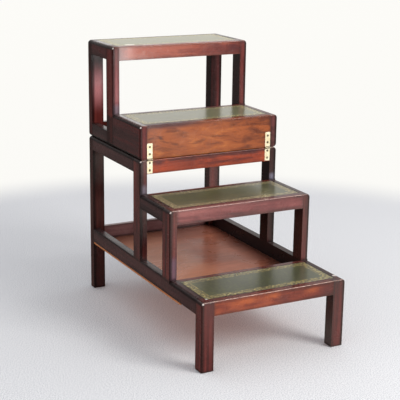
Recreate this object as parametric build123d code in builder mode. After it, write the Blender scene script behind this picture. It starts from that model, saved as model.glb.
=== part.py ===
from build123d import *
import os

os.makedirs("parts", exist_ok=True)

# Library steps in two framed units, joined by two butt hinges at the split. The upper
# unit turns over forwards and lies upside down on treads two and one, as a low table.
# Millimetres. The steps rise along +Y, +X is the right side seen from the front, and the
# origin is on the floor under the middle of the outline. The split's front edge is y = 0.

# Driving sizes of the whole
riser = 185.0
going = 180.0
step_width = 420.0
unit_gap = 0.4
rest_gap = 0.4

# Sections of the frame members
corner_width = 35.0
corner_depth = 32.0
post_width = 21.0
post_depth = 42.0
rail_height = 38.5
front_rail_depth = 20.0
back_rail_depth = 16.0
side_round = 10.0
edge_round = 3.0
eased_edge = 1.0
foot_bevel = 2.0

# Joints between the members
tenon_thickness = 7.0
tenon_shoulder = 6.0
board_shoulder = 12.0
corner_tenon = 18.0
side_tenon = 16.0
post_tenon = 14.0
board_tenon = 10.0
joint_clearance = 0.05

# Boards, leathers, bearers and the plywood shelf
board_thickness = 15.0
board_clearance = 0.1
leather_thickness = 1.2
leather_set_down = 0.2
leather_clearance = 0.3
bearer_size = 15.0
shelf_thickness = 6.0
shelf_inset = 1.0
shelf_setback = 120.0
shelf_clearance = 0.3

# Hinges
hinge_width = 16.0
leaf_thickness = 1.6
upper_leaf_height = 44.5
lower_leaf_height = 37.0
leaf_corner = 2.0
leaf_clearance = 0.1
knuckle_radius = 3.0
knuckle_gap = 0.2
knuckle_relief = 0.4
pin_radius = 1.3
pin_clearance = 0.05
pin_bevel = 0.3
hinge_proud = 0.4
upper_screw_heights = (15.5, 34.5)
lower_screw_heights = (8.5, 28.5)

# Screws, with countersunk slotted heads
head_radius = 3.2
shank_radius = 1.7
hinge_screw_length = 14.0
shelf_screw_length = 22.0
screw_point = 3.0
slot_width = 0.8
slot_depth = 0.8
screw_clearance = 0.05
countersink_angle = 90
side_shelf_screws = 5
rear_shelf_screws = 3
shelf_screw_margin = 24.0

# How far a cut runs past the face that it opens
overrun = 1.0

# Heights worked out from the risers. The split is half a riser over step two, and steps
# three and four are set so that they land on treads two and one when they are turned over.
split_height = 5 * riser / 2
step_one_top = riser
step_two_top = 2 * riser
lower_top = split_height - unit_gap / 2
upper_bottom = split_height + unit_gap / 2
step_three_top = 2 * split_height - step_two_top - rest_gap
step_four_top = 2 * split_height - step_one_top - rest_gap

step_one_rail_z = (step_one_top - rail_height, step_one_top)
step_two_rail_z = (step_two_top - rail_height, step_two_top)
lower_top_rail_z = (lower_top - rail_height, lower_top)
upper_bottom_rail_z = (upper_bottom, upper_bottom + rail_height)
upper_box_z = (upper_bottom, step_three_top)
step_three_rail_z = (step_three_top - rail_height, step_three_top)
step_four_rail_z = (step_four_top - rail_height, step_four_top)

# Places from front to back, worked out from the going
step_one_front = -2 * going
step_two_front = -going
split_front = 0
step_four_front = going
rear_face = 2 * going

front_leg_y = (step_one_front, step_one_front + corner_depth)
step_two_post_y = (step_two_front, step_two_front + post_depth)
hinge_post_y = (split_front, split_front + post_depth)
step_four_post_y = (step_four_front, step_four_front + post_depth)
rear_post_y = (rear_face - corner_depth, rear_face)

step_one_rail_y = (step_one_front, step_one_front + front_rail_depth)
step_two_rail_y = (step_two_front, step_two_front + front_rail_depth)
split_rail_y = (split_front, split_front + front_rail_depth)
step_four_rail_y = (step_four_front, step_four_front + front_rail_depth)
step_one_back_y = (step_two_front - back_rail_depth, step_two_front)
step_two_back_y = (split_front - back_rail_depth, split_front)
step_three_back_y = (step_four_front - back_rail_depth, step_four_front)
rear_rail_y = (rear_face - back_rail_depth, rear_face)

long_rail_y = (front_leg_y[1], rear_post_y[0])
step_two_side_y = (step_two_post_y[1], hinge_post_y[0])
lower_side_y = (hinge_post_y[1], rear_post_y[0])
side_board_y = (split_front, step_four_front)
upper_side_y = (step_four_post_y[1], rear_post_y[0])

# Places across the width, on the right side
half_width = step_width / 2
side_inner = half_width - post_width
corner_inner = half_width - corner_width
side_x = (side_inner, half_width)
corner_x = (corner_inner, half_width)
between_sides = (-side_inner, side_inner)
between_corners = (-corner_inner, corner_inner)
side_middle = half_width - post_width / 2
tongue_x = (side_middle - tenon_thickness / 2, side_middle + tenon_thickness / 2)

# How deep the leathers lie in the frame, and how deep the boards under them reach
recess_depth = leather_thickness + leather_set_down
board_depth = recess_depth + board_thickness

# The plywood shelf under the long side rails
shelf_z = (step_one_rail_z[0] - shelf_thickness, step_one_rail_z[0])
shelf_y = (step_one_front + shelf_setback, rear_face - shelf_inset)
shelf_x = (shelf_inset - half_width, half_width - shelf_inset)
side_screw_pitch = (rear_post_y[0] - shelf_y[0] - 2 * shelf_screw_margin) / (side_shelf_screws - 1)
rear_screw_pitch = 2 * (corner_inner - shelf_screw_margin) / (rear_shelf_screws - 1)
side_screw_y = [shelf_y[0] + shelf_screw_margin + i * side_screw_pitch for i in range(side_shelf_screws)]
rear_screw_x = [shelf_screw_margin - corner_inner + i * rear_screw_pitch for i in range(rear_shelf_screws)]

# The hinges, at the inner side of the posts
pocket_x = (side_inner - hinge_width, side_inner)
hinge_x = (pocket_x[0] + leaf_clearance, pocket_x[1] - leaf_clearance)
hinge_middle = (hinge_x[0] + hinge_x[1]) / 2
knuckle_length = (hinge_x[1] - hinge_x[0] - 2 * knuckle_gap) / 3
inner_knuckle_x = (hinge_x[0], hinge_x[0] + knuckle_length)
outer_knuckle_x = (hinge_x[1] - knuckle_length, hinge_x[1])
middle_knuckle_x = (inner_knuckle_x[1] + knuckle_gap, outer_knuckle_x[0] - knuckle_gap)
knuckle_room = knuckle_radius + knuckle_relief
axis_y = split_front - hinge_proud


def middle(span):
    return (span[0] + span[1]) / 2


def shrunk(span, by):
    return (span[0] + by, span[1] - by)


# A square block between two ends along X, Y and Z
def block(x_span, y_span, z_span, mode=Mode.ADD):
    with BuildSketch(Plane.XY.offset(z_span[0])) as face:
        with Locations((middle(x_span), middle(y_span))):
            Rectangle(x_span[1] - x_span[0], y_span[1] - y_span[0])
    extrude(face.sketch, amount=z_span[1] - z_span[0], mode=mode)


# A round bar along X, or the room for one
def bar(x_span, y, z, radius, mode=Mode.ADD):
    with BuildSketch(Plane.YZ.offset(x_span[0])) as face:
        with Locations((y, z)):
            Circle(radius)
    extrude(face.sketch, amount=x_span[1] - x_span[0], mode=mode)


# The mortise that takes a tenon of the given size
def mortise(tenon):
    block(*[shrunk(span, -joint_clearance) for span in tenon], mode=Mode.SUBTRACT)


# The tenons at both ends of a rail that runs across, as one tongue through the rail
def cross_tongue(inner, length, y_span, z_span, shoulder):
    y_tongue = (middle(y_span) - tenon_thickness / 2, middle(y_span) + tenon_thickness / 2)
    return ((-inner - length, inner + length), y_tongue, shrunk(z_span, shoulder))


# The tenons at both ends of a rail that runs along one side
def side_tongue(y_span, z_span):
    return (tongue_x, shrunk(y_span, -side_tenon), shrunk(z_span, tenon_shoulder))


# The stub tenon under a post that stands on the long side rail
def foot_tongue(y_span):
    return (tongue_x, shrunk(y_span, tenon_shoulder), (step_one_top - post_tenon, step_one_top))


# Takes a quarter round off the outer top or bottom edge on the right over one stretch
def round_stretch(y_span, edge_z, radius, towards=Align.MIN):
    inward = -radius if towards == Align.MIN else radius
    with BuildSketch(Plane.XZ.offset(-y_span[1])) as corner:
        with Locations((half_width - radius, edge_z + inward)):
            Rectangle(radius + overrun, radius + overrun, align=(Align.MIN, towards))
            Circle(radius, mode=Mode.SUBTRACT)
    extrude(corner.sketch, amount=y_span[1] - y_span[0], mode=Mode.SUBTRACT)


# The notch in a corner post that a flush board rests in
def board_notch(y_span, z_span):
    block((corner_inner - overrun, side_inner), y_span, z_span, Mode.SUBTRACT)


def side_edge(part, which):
    return part.edges().filter_by(Axis.Y).group_by(Axis.X)[-1].sort_by(Axis.Z)[which]


def front_edge(part, which):
    return part.edges().filter_by(Axis.X).group_by(Axis.Y)[0].sort_by(Axis.Z)[which]


def rear_edge(part, which):
    return part.edges().filter_by(Axis.X).group_by(Axis.Y)[-1].sort_by(Axis.Z)[which]


def rear_corner(part):
    return part.edges().filter_by(Axis.Z).group_by(Axis.Y)[-1].sort_by(Axis.X)[-1]


def save(name, piece):
    piece.part.label = name
    export_step(piece.part, f"parts/{name}.step")


# Writes a right-hand piece, and its mirror image on the left
def save_pair(name, right):
    save(f"{name}_right", right)
    with BuildPart() as left:
        mirror(right.part, about=Plane.YZ)
    save(f"{name}_left", left)


bottom = 0
top = -1

# Tenons, each worked out once and used by the rail and by the piece that it enters
step_one_front_tongue = cross_tongue(
    corner_inner, corner_tenon, step_one_rail_y, step_one_rail_z, tenon_shoulder
)
step_two_front_tongue = cross_tongue(
    side_inner, post_tenon, step_two_rail_y, step_two_rail_z, tenon_shoulder
)
hinge_rail_tongue = cross_tongue(
    side_inner, post_tenon, split_rail_y, lower_top_rail_z, tenon_shoulder
)
step_four_front_tongue = cross_tongue(
    side_inner, post_tenon, step_four_rail_y, step_four_rail_z, tenon_shoulder
)
apron_tongue = cross_tongue(side_inner, board_tenon, split_rail_y, upper_box_z, board_shoulder)
step_one_back_tongue = cross_tongue(
    side_inner, board_tenon, step_one_back_y, step_one_rail_z, tenon_shoulder
)
step_two_back_tongue = cross_tongue(
    side_inner, board_tenon, step_two_back_y, step_two_rail_z, tenon_shoulder
)
step_three_back_tongue = cross_tongue(
    side_inner, board_tenon, step_three_back_y, step_three_rail_z, tenon_shoulder
)
rear_bottom_tongue = cross_tongue(
    corner_inner, corner_tenon, rear_rail_y, step_one_rail_z, tenon_shoulder
)
rear_top_tongue = cross_tongue(
    corner_inner, corner_tenon, rear_rail_y, lower_top_rail_z, tenon_shoulder
)
upper_rear_tongue = cross_tongue(
    corner_inner, corner_tenon, rear_rail_y, upper_bottom_rail_z, tenon_shoulder
)
step_four_rear_tongue = cross_tongue(
    corner_inner, corner_tenon, rear_rail_y, step_four_rail_z, tenon_shoulder
)
long_rail_tongue = side_tongue(long_rail_y, step_one_rail_z)
step_two_side_tongue = side_tongue(step_two_side_y, step_two_rail_z)
lower_side_tongue = side_tongue(lower_side_y, lower_top_rail_z)
upper_back_tongue = side_tongue(upper_side_y, upper_bottom_rail_z)
step_four_side_tongue = side_tongue(upper_side_y, step_four_rail_z)
side_board_tongue = (
    tongue_x,
    (step_four_front - side_tenon, step_four_front + side_tenon),
    shrunk(upper_box_z, board_shoulder),
)
step_two_foot = foot_tongue(step_two_post_y)
hinge_post_foot = foot_tongue(hinge_post_y)

# Legs and posts of the lower unit
with BuildPart() as front_leg:
    block(corner_x, front_leg_y, (0, step_one_top))
    fillet(side_edge(front_leg, top), side_round)
    fillet(front_edge(front_leg, top), edge_round)
    chamfer(front_leg.faces().sort_by(Axis.Z)[0].edges(), foot_bevel)
    mortise(step_one_front_tongue)
    mortise(long_rail_tongue)
    board_notch(
        (step_one_rail_y[1], front_leg_y[1] + overrun),
        (step_one_top - board_depth, step_one_top + overrun),
    )
save_pair("front_leg", front_leg)

with BuildPart() as rear_leg:
    block(corner_x, rear_post_y, (0, lower_top))
    fillet([side_edge(rear_leg, top), rear_edge(rear_leg, top), rear_corner(rear_leg)], side_round)
    chamfer(rear_leg.faces().sort_by(Axis.Z)[0].edges(), foot_bevel)
    mortise(long_rail_tongue)
    mortise(lower_side_tongue)
    mortise(rear_bottom_tongue)
    mortise(rear_top_tongue)
    board_notch(
        (rear_post_y[0] - overrun, rear_rail_y[0]),
        (lower_top - board_depth, lower_top + overrun),
    )
save_pair("rear_leg", rear_leg)

with BuildPart() as step_two_post:
    block(side_x, step_two_post_y, (step_one_top, step_two_top))
    fillet(side_edge(step_two_post, top), side_round)
    fillet(front_edge(step_two_post, top), edge_round)
    block(*step_two_foot)
    mortise(step_two_front_tongue)
    mortise(step_two_side_tongue)
save_pair("step_two_post", step_two_post)

with BuildPart() as hinge_post:
    block(side_x, hinge_post_y, (step_two_top, lower_top))
    fillet(side_edge(hinge_post, top), side_round)
    fillet(front_edge(hinge_post, top), edge_round)
    block(side_x, hinge_post_y, (step_one_top, step_two_top))
    block(*hinge_post_foot)
    mortise(step_two_side_tongue)
    mortise(lower_side_tongue)
    mortise(hinge_rail_tongue)
save_pair("hinge_post", hinge_post)

# Rails along the sides of the lower unit
shelf_hole_depth = shelf_screw_length - shelf_thickness + overrun
with BuildPart() as long_side_rail:
    block(side_x, long_rail_y, step_one_rail_z)
    round_stretch((long_rail_y[0], step_two_post_y[0]), step_one_top, side_round)
    round_stretch((step_two_post_y[1], hinge_post_y[0]), step_one_top, edge_round)
    round_stretch((hinge_post_y[1], long_rail_y[1]), step_one_top, edge_round)
    block(*long_rail_tongue)
    mortise(step_two_foot)
    mortise(hinge_post_foot)
    mortise(step_one_back_tongue)
    for y in side_screw_y:
        with Locations(Plane((side_middle, y, step_one_rail_z[0]), z_dir=(0, 0, -1))):
            Hole(shank_radius + screw_clearance, shelf_hole_depth)
save_pair("long_side_rail", long_side_rail)

with BuildPart() as step_two_side_rail:
    block(side_x, step_two_side_y, step_two_rail_z)
    fillet(side_edge(step_two_side_rail, top), side_round)
    fillet(side_edge(step_two_side_rail, bottom), eased_edge)
    block(*step_two_side_tongue)
    mortise(step_two_back_tongue)
save_pair("step_two_side_rail", step_two_side_rail)

with BuildPart() as lower_table_side_rail:
    block(side_x, lower_side_y, lower_top_rail_z)
    fillet(side_edge(lower_table_side_rail, top), side_round)
    fillet(side_edge(lower_table_side_rail, bottom), eased_edge)
    block(*lower_side_tongue)
save_pair("lower_table_side_rail", lower_table_side_rail)

# Rails across the lower unit
with BuildPart() as step_one_front_rail:
    block(between_corners, step_one_rail_y, step_one_rail_z)
    fillet(front_edge(step_one_front_rail, top), edge_round)
    fillet(front_edge(step_one_front_rail, bottom), eased_edge)
    block(*step_one_front_tongue)
save("step_one_front_rail", step_one_front_rail)

with BuildPart() as step_two_front_rail:
    block(between_sides, step_two_rail_y, step_two_rail_z)
    fillet(front_edge(step_two_front_rail, top), edge_round)
    fillet(front_edge(step_two_front_rail, bottom), eased_edge)
    block(*step_two_front_tongue)
save("step_two_front_rail", step_two_front_rail)


# The pocket and screw holes for one hinge leaf in the front of a board, and the room for
# the knuckles. Up is 1 for the leaf over the split and -1 for the one under it.
def leaf_pocket(up, height, screw_heights):
    inner_edge = split_height - up * knuckle_room
    far_edge = split_height + up * (height + leaf_clearance)
    for pocket, screw_x in ((pocket_x, hinge_middle), ((-pocket_x[1], -pocket_x[0]), -hinge_middle)):
        leaf_plate(pocket, inner_edge, far_edge, Mode.SUBTRACT)
        bar(pocket, axis_y, split_height, knuckle_room, Mode.SUBTRACT)
        for height_over_split in screw_heights:
            seat = (screw_x, split_front, split_height + up * height_over_split)
            with Locations(Plane(seat, z_dir=(0, -1, 0))):
                Hole(shank_radius + screw_clearance, hinge_screw_length + overrun)


# A plate let into the front face, with the two corners at its far edge rounded
def leaf_plate(x_span, near_edge, far_edge, mode=Mode.ADD):
    with BuildSketch(Plane.XZ) as outline:
        with Locations((middle(x_span), (near_edge + far_edge) / 2)):
            Rectangle(x_span[1] - x_span[0], abs(far_edge - near_edge))
        far_corners = outline.vertices().group_by(Axis.Y)[top if far_edge > near_edge else bottom]
        fillet(far_corners, leaf_corner)
    extrude(outline.sketch, amount=-leaf_thickness, mode=mode)


with BuildPart() as hinge_rail:
    block(between_sides, split_rail_y, lower_top_rail_z)
    fillet(front_edge(hinge_rail, top), edge_round)
    fillet(front_edge(hinge_rail, bottom), eased_edge)
    block(*hinge_rail_tongue)
    leaf_pocket(-1, lower_leaf_height, lower_screw_heights)
save("hinge_rail", hinge_rail)

with BuildPart() as lower_rear_bottom_rail:
    block(between_corners, rear_rail_y, step_one_rail_z)
    fillet(rear_edge(lower_rear_bottom_rail, top), edge_round)
    block(*rear_bottom_tongue)
    for x in rear_screw_x:
        with Locations(Plane((x, middle(rear_rail_y), step_one_rail_z[0]), z_dir=(0, 0, -1))):
            Hole(shank_radius + screw_clearance, shelf_hole_depth)
save("lower_rear_bottom_rail", lower_rear_bottom_rail)

with BuildPart() as lower_rear_top_rail:
    block(between_corners, rear_rail_y, lower_top_rail_z)
    fillet(rear_edge(lower_rear_top_rail, top), side_round)
    fillet(rear_edge(lower_rear_top_rail, bottom), eased_edge)
    block(*rear_top_tongue)
save("lower_rear_top_rail", lower_rear_top_rail)

with BuildPart() as step_one_back_rail:
    block(between_sides, step_one_back_y, step_one_rail_z)
    fillet(rear_edge(step_one_back_rail, top), eased_edge)
    block(*step_one_back_tongue)
save("step_one_back_rail", step_one_back_rail)

with BuildPart() as step_two_back_rail:
    block(between_sides, step_two_back_y, step_two_rail_z)
    fillet(rear_edge(step_two_back_rail, top), eased_edge)
    block(*step_two_back_tongue)
save("step_two_back_rail", step_two_back_rail)

# Legs and posts of the upper unit
with BuildPart() as upper_rear_post:
    block(corner_x, rear_post_y, (upper_bottom, step_four_top))
    upper_rear_rounds = [
        side_edge(upper_rear_post, top),
        side_edge(upper_rear_post, bottom),
        rear_edge(upper_rear_post, top),
        rear_edge(upper_rear_post, bottom),
        rear_corner(upper_rear_post),
    ]
    fillet(upper_rear_rounds, side_round)
    mortise(upper_back_tongue)
    mortise(step_four_side_tongue)
    mortise(upper_rear_tongue)
    mortise(step_four_rear_tongue)
    board_notch(
        (rear_post_y[0] - overrun, rear_rail_y[0]),
        (upper_bottom - overrun, upper_bottom + board_depth),
    )
    board_notch(
        (rear_post_y[0] - overrun, rear_rail_y[0]),
        (step_four_top - board_depth, step_four_top + overrun),
    )
save_pair("upper_rear_post", upper_rear_post)

with BuildPart() as step_four_post:
    block(side_x, step_four_post_y, (step_three_top, step_four_top))
    fillet(side_edge(step_four_post, top), side_round)
    fillet(front_edge(step_four_post, top), edge_round)
    block(side_x, step_four_post_y, upper_box_z)
    round_stretch(step_four_post_y, upper_bottom, side_round, Align.MAX)
    mortise(side_board_tongue)
    mortise(upper_back_tongue)
    mortise(step_four_front_tongue)
    mortise(step_four_side_tongue)
save_pair("step_four_post", step_four_post)

# Boards and rails of the upper unit
with BuildPart() as step_three_side_board:
    block(side_x, side_board_y, upper_box_z)
    side_board_rounds = [
        side_edge(step_three_side_board, top),
        side_edge(step_three_side_board, bottom),
    ]
    fillet(side_board_rounds, side_round)
    fillet(front_edge(step_three_side_board, top), edge_round)
    block(*side_board_tongue)
    mortise(apron_tongue)
    mortise(step_three_back_tongue)
save_pair("step_three_side_board", step_three_side_board)

with BuildPart() as upper_back_side_rail:
    block(side_x, upper_side_y, upper_bottom_rail_z)
    fillet(side_edge(upper_back_side_rail, bottom), side_round)
    fillet(side_edge(upper_back_side_rail, top), eased_edge)
    block(*upper_back_tongue)
save_pair("upper_back_side_rail", upper_back_side_rail)

with BuildPart() as step_four_side_rail:
    block(side_x, upper_side_y, step_four_rail_z)
    fillet(side_edge(step_four_side_rail, top), side_round)
    fillet(side_edge(step_four_side_rail, bottom), eased_edge)
    block(*step_four_side_tongue)
save_pair("step_four_side_rail", step_four_side_rail)

with BuildPart() as apron_board:
    block(between_sides, split_rail_y, upper_box_z)
    fillet([front_edge(apron_board, top), front_edge(apron_board, bottom)], edge_round)
    block(*apron_tongue)
    leaf_pocket(1, upper_leaf_height, upper_screw_heights)
save("apron_board", apron_board)

with BuildPart() as step_three_back_rail:
    block(between_sides, step_three_back_y, step_three_rail_z)
    fillet(rear_edge(step_three_back_rail, top), eased_edge)
    block(*step_three_back_tongue)
save("step_three_back_rail", step_three_back_rail)

with BuildPart() as step_four_front_rail:
    block(between_sides, step_four_rail_y, step_four_rail_z)
    fillet(front_edge(step_four_front_rail, top), edge_round)
    fillet(front_edge(step_four_front_rail, bottom), eased_edge)
    block(*step_four_front_tongue)
save("step_four_front_rail", step_four_front_rail)

with BuildPart() as step_four_rear_rail:
    block(between_corners, rear_rail_y, step_four_rail_z)
    fillet(rear_edge(step_four_rear_rail, top), side_round)
    fillet(rear_edge(step_four_rear_rail, bottom), eased_edge)
    block(*step_four_rear_tongue)
save("step_four_rear_rail", step_four_rear_rail)

with BuildPart() as upper_rear_bottom_rail:
    block(between_corners, rear_rail_y, upper_bottom_rail_z)
    fillet(rear_edge(upper_rear_bottom_rail, bottom), side_round)
    fillet(rear_edge(upper_rear_bottom_rail, top), eased_edge)
    block(*upper_rear_tongue)
save("upper_rear_bottom_rail", upper_rear_bottom_rail)

# The boards between the rails, and the leathers let in over them. The faces of treads and
# of the lower table look up. The upper table's face is the underside of the upper unit.
board_x = shrunk(between_sides, board_clearance)
leather_x = shrunk(between_sides, leather_clearance)
tread_openings = {
    "step_one": (step_one_rail_y[1], step_one_back_y[0], step_one_top),
    "step_two": (step_two_rail_y[1], step_two_back_y[0], step_two_top),
    "step_three": (split_rail_y[1], step_three_back_y[0], step_three_top),
    "step_four": (step_four_rail_y[1], rear_rail_y[0], step_four_top),
    "lower_table": (split_rail_y[1], rear_rail_y[0], lower_top),
}

for name, (front, back, face_z) in tread_openings.items():
    with BuildPart() as flush_board:
        board_y = shrunk((front, back), board_clearance)
        block(board_x, board_y, (face_z - board_depth, face_z - recess_depth))
    save(f"{name}_board", flush_board)
    with BuildPart() as inset_leather:
        leather_y = shrunk((front, back), leather_clearance)
        block(leather_x, leather_y, (face_z - recess_depth, face_z - leather_set_down))
    save(f"{name}_leather", inset_leather)

with BuildPart() as upper_table_board:
    board_y = shrunk((split_rail_y[1], rear_rail_y[0]), board_clearance)
    block(board_x, board_y, (upper_bottom + recess_depth, upper_bottom + board_depth))
save("upper_table_board", upper_table_board)

with BuildPart() as upper_table_leather:
    leather_y = shrunk((split_rail_y[1], rear_rail_y[0]), leather_clearance)
    block(leather_x, leather_y, (upper_bottom + leather_set_down, upper_bottom + recess_depth))
save("upper_table_leather", upper_table_leather)


# Two square battens along the side rails, that carry a board
def bearers(front, back, lower_face):
    z_span = (lower_face, lower_face + bearer_size)
    block((side_inner - bearer_size, side_inner), (front, back), z_span)
    block((-side_inner, bearer_size - side_inner), (front, back), z_span)


bearer_drop = board_depth + bearer_size
with BuildPart() as lower_bearers:
    bearers(front_leg_y[1], step_one_back_y[0], step_one_top - bearer_drop)
    bearers(step_two_rail_y[1], step_two_back_y[0], step_two_top - bearer_drop)
    bearers(split_rail_y[1], rear_post_y[0], lower_top - bearer_drop)
save("lower_bearers", lower_bearers)

with BuildPart() as upper_bearers:
    bearers(split_rail_y[1], rear_post_y[0], upper_bottom + board_depth)
    bearers(split_rail_y[1], step_three_back_y[0], step_three_top - bearer_drop)
    bearers(step_four_rail_y[1], rear_post_y[0], step_four_top - bearer_drop)
save("upper_bearers", upper_bearers)

# The plywood shelf, notched round the rear legs
notch_x = (corner_inner - shelf_clearance, half_width)
notch_y = (rear_post_y[0] - shelf_clearance, rear_face)
with BuildPart() as plywood_shelf:
    block(shelf_x, shelf_y, shelf_z)
    block(notch_x, notch_y, shelf_z, Mode.SUBTRACT)
    block((-notch_x[1], -notch_x[0]), notch_y, shelf_z, Mode.SUBTRACT)
    shelf_screw_places = [(side * side_middle, y) for side in (-1, 1) for y in side_screw_y]
    shelf_screw_places += [(x, middle(rear_rail_y)) for x in rear_screw_x]
    for x, y in shelf_screw_places:
        with Locations(Plane((x, y, shelf_z[0]), z_dir=(0, 0, -1))):
            CounterSinkHole(
                shank_radius + screw_clearance,
                head_radius + screw_clearance,
                shelf_thickness,
                countersink_angle,
            )
save("plywood_shelf", plywood_shelf)


# A countersunk slotted screw with its head's face in the XY plane and its point down
def wood_screw(length):
    head_height = head_radius - shank_radius
    with BuildPart() as screw:
        with BuildSketch(Plane.XZ):
            with BuildLine():
                Polyline(
                    (0, 0),
                    (head_radius, 0),
                    (shank_radius, -head_height),
                    (shank_radius, screw_point - length),
                    (0, -length),
                    close=True,
                )
            make_face()
        revolve(axis=Axis.Z)
        with BuildSketch(Plane.XY):
            Rectangle(slot_width, 2 * head_radius)
        extrude(amount=-slot_depth, mode=Mode.SUBTRACT)
    return screw.part


shelf_screw = wood_screw(shelf_screw_length)
with BuildPart() as shelf_screws:
    for x, y in shelf_screw_places:
        with Locations(Plane((x, y, shelf_z[0]), z_dir=(0, 0, -1))):
            add(shelf_screw)
save("shelf_screws", shelf_screws)


# The four screws of the upper or the lower leaves, two on each side
def hinge_screws(up, screw_heights):
    hinge_screw = wood_screw(hinge_screw_length)
    with BuildPart() as screws:
        for x in (-hinge_middle, hinge_middle):
            for height in screw_heights:
                seat = (x, split_front, split_height + up * height)
                with Locations(Plane(seat, x_dir=(1, 0, 0), z_dir=(0, -1, 0))):
                    add(hinge_screw)
    return screws


save("lower_hinge_screws", hinge_screws(-1, lower_screw_heights))
save("upper_hinge_screws", hinge_screws(1, upper_screw_heights))


# One leaf of the right-hand hinge: its plate, its knuckles and the holes for its screws
def hinge_leaf(up, height, screw_heights, knuckles):
    with BuildPart() as leaf:
        leaf_plate(hinge_x, split_height + up * knuckle_room, split_height + up * height)
        for knuckle_x in knuckles:
            tab_z = sorted((split_height, split_height + up * knuckle_room))
            block(knuckle_x, (split_front, split_front + leaf_thickness), tab_z)
            bar(knuckle_x, axis_y, split_height, knuckle_radius)
            bar(knuckle_x, axis_y, split_height, pin_radius + pin_clearance, Mode.SUBTRACT)
        for height_over_split in screw_heights:
            seat = (hinge_middle, split_front, split_height + up * height_over_split)
            with Locations(Plane(seat, z_dir=(0, -1, 0))):
                CounterSinkHole(
                    shank_radius + screw_clearance,
                    head_radius + screw_clearance,
                    leaf_thickness,
                    countersink_angle,
                )
    return leaf


save_pair("hinge_upper_leaf", hinge_leaf(1, upper_leaf_height, upper_screw_heights, [middle_knuckle_x]))
lower_knuckles = [inner_knuckle_x, outer_knuckle_x]
save_pair("hinge_lower_leaf", hinge_leaf(-1, lower_leaf_height, lower_screw_heights, lower_knuckles))

with BuildPart() as hinge_pins:
    bar(hinge_x, axis_y, split_height, pin_radius)
    chamfer(hinge_pins.edges().filter_by(GeomType.CIRCLE), pin_bevel)
    mirror(about=Plane.YZ)
save("hinge_pins", hinge_pins)
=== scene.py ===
import math

import bmesh
import bpy
from mathutils import Matrix, Vector, noise


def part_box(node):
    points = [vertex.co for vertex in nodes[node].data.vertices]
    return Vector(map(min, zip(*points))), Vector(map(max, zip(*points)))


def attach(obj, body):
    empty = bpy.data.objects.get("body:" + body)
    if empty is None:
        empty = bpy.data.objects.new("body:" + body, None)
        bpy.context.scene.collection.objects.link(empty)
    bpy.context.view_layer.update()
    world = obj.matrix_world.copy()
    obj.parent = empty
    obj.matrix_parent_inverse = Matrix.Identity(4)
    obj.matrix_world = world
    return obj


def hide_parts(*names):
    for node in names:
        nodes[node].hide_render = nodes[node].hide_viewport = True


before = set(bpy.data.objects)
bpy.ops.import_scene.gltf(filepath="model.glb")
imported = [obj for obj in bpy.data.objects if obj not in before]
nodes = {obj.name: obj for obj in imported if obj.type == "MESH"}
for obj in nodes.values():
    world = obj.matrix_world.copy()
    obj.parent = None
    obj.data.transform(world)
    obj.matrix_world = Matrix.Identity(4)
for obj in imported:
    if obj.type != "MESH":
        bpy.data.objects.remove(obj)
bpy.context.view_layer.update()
scene = bpy.context.scene
scene.view_settings.view_transform = "Standard"


# Small helpers for building node trees

def tint(red, green, blue):
    # a colour as seen on a screen, 0 to 255, made linear
    linear = []
    for part in (red / 255, green / 255, blue / 255):
        linear.append(((part + 0.055) / 1.055) ** 2.4 if part > 0.04 else part / 12.92)
    return (*linear, 1.0)


def put(tree, socket, value):
    if isinstance(value, bpy.types.NodeSocket):
        tree.links.new(value, socket)
    else:
        socket.default_value = value


def addNode(tree, kind, inputs=None, **settings):
    node = tree.nodes.new("ShaderNode" + kind)
    for name, value in settings.items():
        setattr(node, name, value)
    for key, value in (inputs or {}).items():
        put(tree, node.inputs[key], value)
    return node


def calc(tree, operation, *values, clamp=False):
    node = addNode(tree, "Math", operation=operation, use_clamp=clamp)
    for socket, value in zip(node.inputs, values):
        put(tree, socket, value)
    return node.outputs[0]


def times(tree, first, second):
    return calc(tree, "MULTIPLY", first, second)


def timesPlus(tree, value, factor, base):
    return calc(tree, "MULTIPLY_ADD", value, factor, base)


def apart(tree, value, level):
    return calc(tree, "ABSOLUTE", calc(tree, "SUBTRACT", value, level))


def spread(tree, value, low, high, newLow=0.0, newHigh=1.0):
    # stretches low..high to newLow..newHigh, with soft ends
    values = {0: value, 1: low, 2: high, 3: newLow, 4: newHigh}
    return addNode(tree, "MapRange", values, interpolation_type="SMOOTHSTEP").outputs[0]


def vectorCalc(tree, operation, first, second):
    return addNode(tree, "VectorMath", {0: first, 1: second}, operation=operation).outputs[0]


def stretched(tree, place, scale):
    return vectorCalc(tree, "MULTIPLY", place, scale)


def splitAxes(tree, vector):
    return addNode(tree, "SeparateXYZ", {0: vector}).outputs


def lengthOf(tree, vector):
    return addNode(tree, "VectorMath", {0: vector}, operation="LENGTH").outputs["Value"]


def ownNormal(tree):
    return addNode(tree, "TexCoord").outputs["Normal"]


def objectPlace(tree, turn=(0.0, 0.0, 0.0), shift=(0.0, 0.0, 0.0)):
    place = addNode(tree, "TexCoord").outputs["Object"]
    values = {"Vector": place, "Rotation": turn, "Location": shift}
    return addNode(tree, "Mapping", values).outputs[0]


def speckle(tree, place, scale, detail=2.0, rough=0.5, bend=0.0):
    values = {"Vector": place, "Scale": scale, "Detail": detail,
              "Roughness": rough, "Distortion": bend}
    return addNode(tree, "TexNoise", values).outputs["Fac"]


def drift(tree, place, scale, detail, reach):
    # an uneven push, of up to half of reach each way
    values = {"Vector": place, "Scale": scale, "Detail": detail}
    push = addNode(tree, "TexNoise", values).outputs["Color"]
    return stretched(tree, vectorCalc(tree, "SUBTRACT", push, (0.5, 0.5, 0.5)), reach)


def blendColour(tree, share, first, second):
    return addNode(tree, "Mix", {0: share, 6: first, 7: second}, data_type="RGBA").outputs[2]


def layOver(tree, colour, mask, strength, paint):
    # covers a colour with paint where the mask is high
    return blendColour(tree, times(tree, mask, strength), colour, paint)


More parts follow.
